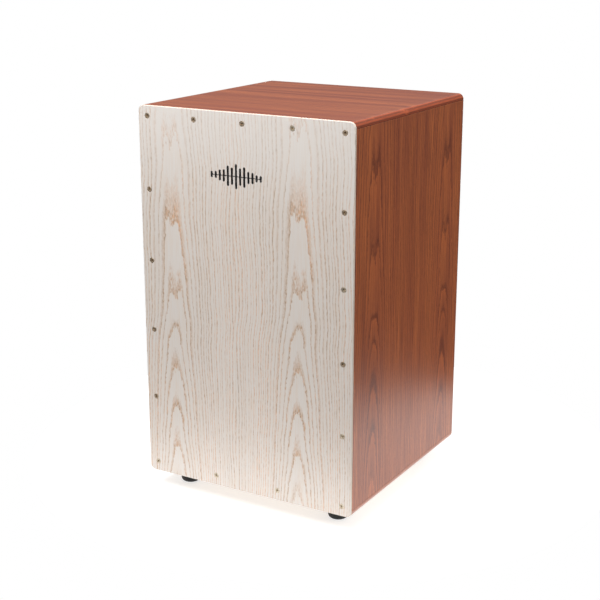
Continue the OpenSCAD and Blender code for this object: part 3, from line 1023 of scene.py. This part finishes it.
def add_light(name, place, target, size, power):
    """A soft box that the camera doesn't see."""
    data = bpy.data.lights.new(name, "AREA")
    data.shape = "RECTANGLE"
    data.size, data.size_y = size
    data.energy = power
    light = bpy.data.objects.new(name, data)
    light.location = place
    light.rotation_euler = (Vector(target) - Vector(place)).to_track_quat("-Z", "Y").to_euler()
    light.visible_camera = False
    bpy.context.scene.collection.objects.link(light)


def room_colour(tree):
    """Colour of the room by height: ground, horizon, wall and sky."""
    place = tree.nodes.new("ShaderNodeTexCoord")
    parts = tree.nodes.new("ShaderNodeSeparateXYZ")
    height = tree.nodes.new("ShaderNodeMapRange")
    height.inputs["From Min"].default_value = -1.0
    levels = tree.nodes.new("ShaderNodeValToRGB")
    stops = levels.color_ramp.elements
    for position in (HORIZON, WALL_TOP):
        stops.new(position)
    for stop, level in zip(stops, (GROUND_LEVEL, HORIZON_LEVEL, ROOM_LEVEL, SKY_LEVEL)):
        stop.color = (level, level, level, 1)
    tree.links.new(place.outputs["Generated"], parts.inputs[0])
    tree.links.new(parts.outputs[Z], height.inputs["Value"])
    tree.links.new(height.outputs["Result"], levels.inputs[0])
    return levels.outputs["Color"]


def make_world():
    """White behind the object, and for its light and reflections a dim room with a soft sky."""
    world = bpy.data.worlds.new("studio")
    bpy.context.scene.world = world
    world.use_nodes = True
    tree = world.node_tree
    tree.nodes.clear()
    out = tree.nodes.new("ShaderNodeOutputWorld")
    mix = tree.nodes.new("ShaderNodeMixShader")
    path = tree.nodes.new("ShaderNodeLightPath")
    room = tree.nodes.new("ShaderNodeBackground")
    backdrop = tree.nodes.new("ShaderNodeBackground")
    backdrop.inputs["Color"].default_value = (1, 1, 1, 1)
    tree.links.new(room_colour(tree), room.inputs["Color"])
    tree.links.new(path.outputs["Is Camera Ray"], mix.inputs[0])
    tree.links.new(room.outputs[0], mix.inputs[1])
    tree.links.new(backdrop.outputs[0], mix.inputs[2])
    tree.links.new(mix.outputs[0], out.inputs[0])


def make_floor():
    """A round white light table, which the satin sides of the box mirror at their foot."""
    nodes = Nodes("floor_white", Emission_Color=(1, 1, 1, 1), Emission_Strength=FLOOR_GLOW)
    faint = nodes.noise(nodes.place, (6, 6, 6), 2.0)
    grey = nodes.mix(faint, (0.40, 0.40, 0.40, 1), (0.42, 0.42, 0.42, 1))
    material = nodes.finish(grey, 0.8)
    bm = bmesh.new()
    rim = circle(FLOOR_R, FLOOR_SIDES, FLOOR_CENTRE)
    bottom, top = loft(bm, [[(a, b, level) for a, b in rim] for level in (-FLOOR_THICK, 0.0)])
    cap(bm, bottom)
    cap(bm, top)
    floor = piece_from(bm, "floor", [material])


def make_studio():
    """Camera, world, floor and lights."""
    bpy.context.scene.view_settings.view_transform = "Standard"
    bpy.context.scene.view_settings.look = "None"
    low, high = cad_box
    centre = (low + high) / 2
    make_camera(centre)
    make_world()
    make_floor()
    add_light("top_light", place=(0.2, 0.4, 2.1), target=(0, 0, 0.2), size=(1.9, 1.9),
              power=22.0)
    add_light("front_light", place=(-0.35, -1.0, 1.7), target=(0, 0, 0.45), size=(1.0, 1.0),
              power=36.0)
    add_light("side_light", place=(1.9, 0.5, 1.3), target=(0, 0, 0.25), size=(1.0, 1.4),
              power=26.0)
    # Low, so that the seat doesn't mirror it towards the front
    add_light("rear_light", place=(-0.7, 1.9, 0.24), target=(0, 0, 0.3), size=(1.0, 0.45),
              power=16.0)


def plywood_finishes():
    """Veneered faces of the box and the cut edges of its plywood."""
    tapa_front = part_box("tapa")[0].y
    box_low, box_high = cad_box
    return {
        "ash_white": ash_white(),
        "tapa_edge": ply_edge("tapa_edge", Y, tapa_front, 1.0 * MM, tone(196, 176, 156),
                              tone(226, 214, 202), tone(232, 214, 184), Coat_Weight=0.3),
        "ash_side": ash_stained("ash_side", Y, Z, stained_leaf(-97 * MM, 202 * MM, 8.1)),
        "ash_back": ash_stained("ash_back", X, Z, stained_leaf(-60 * MM, 202 * MM, 15.3)),
        # The seat is a darker copy of the body's stain: painted shade
        "ash_top": ash_stained("ash_top", Y, X, stained_leaf(-500 * MM, 2000 * MM, 21.9), 0.4),
        "ply_level": ply_edge("ply_level", Z, box_high.z - 0.4 * MM, 1.9 * MM,
                              tone(100, 46, 28), tone(166, 78, 44), tone(168, 82, 48),
                              Coat_Weight=0.1, Coat_Roughness=0.4, Specular_IOR_Level=0.25),
        "ply_base": ply_edge("ply_base", Z, box_low.z, 1.9 * MM, tone(150, 88, 68),
                             tone(196, 128, 100), tone(200, 140, 112), Coat_Weight=0.8,
                             Coat_Roughness=0.3),
        "ply_upright": ply_edge("ply_upright", X, 0.0, 1.6 * MM, tone(104, 50, 30),
                                tone(170, 88, 52), tone(188, 108, 66), Coat_Weight=0.4),
        "ply_hole": ply_edge("ply_hole", Y, 0.0, 1.2 * MM, tone(112, 66, 42),
                             tone(186, 128, 82), tone(200, 146, 100)),
    }


def plain_finishes():
    """Bare wood, metals, rubber and ink."""
    pine = {axis: plain_wood("pine_" + "xyz"[axis], tone(222, 194, 148), tone(206, 170, 120),
                             tone(186, 146, 98), axis) for axis in (X, Y, Z)}
    return {
        "joint": plain_wood("joint", tone(58, 30, 20), tone(46, 24, 17), tone(34, 18, 13), Y),
        "raw_ply": plain_wood("raw_ply", tone(214, 186, 146), tone(200, 168, 126),
                              tone(178, 142, 104), Z),
        "pine": pine,
        "beech": plain_wood("beech", tone(206, 164, 122), tone(196, 150, 108),
                            tone(166, 116, 80), X),
        "nickel": plated_steel("nickel", tone(224, 206, 182), tone(188, 168, 144), 0.46),
        # A lighter copy of the nickel: painted highlight on some of the tapa's screws
        "nickel_painted_highlight": plated_steel("nickel_painted_highlight", tone(232, 222, 204),
                                      tone(190, 172, 146), 0.5),
        "zinc": plated_steel("zinc", tone(196, 197, 196), tone(166, 168, 170), 0.26),
        "spring": plated_steel("spring", tone(206, 207, 210), tone(176, 178, 184), 0.20),
        "rubber": foot_rubber(),
        "ink": ink(),
    }


make_studio()
finish = {**plywood_finishes(), **plain_finishes()}
make_tapa(finish)
make_tapa_screws(finish)
make_emblem(finish)
make_capping_panel("top_panel", 1, finish)
make_capping_panel("bottom_panel", -1, finish)
make_side_panel("left_panel", -1, finish)
make_side_panel("right_panel", 1, finish)
make_back_panel(finish)
make_frame_woods(finish)
dress_snare_parts(finish)
make_snare_wires(-1, finish)
make_snare_wires(1, finish)
make_snare_screws(finish)
make_bar_screws(finish)
make_feet(finish)
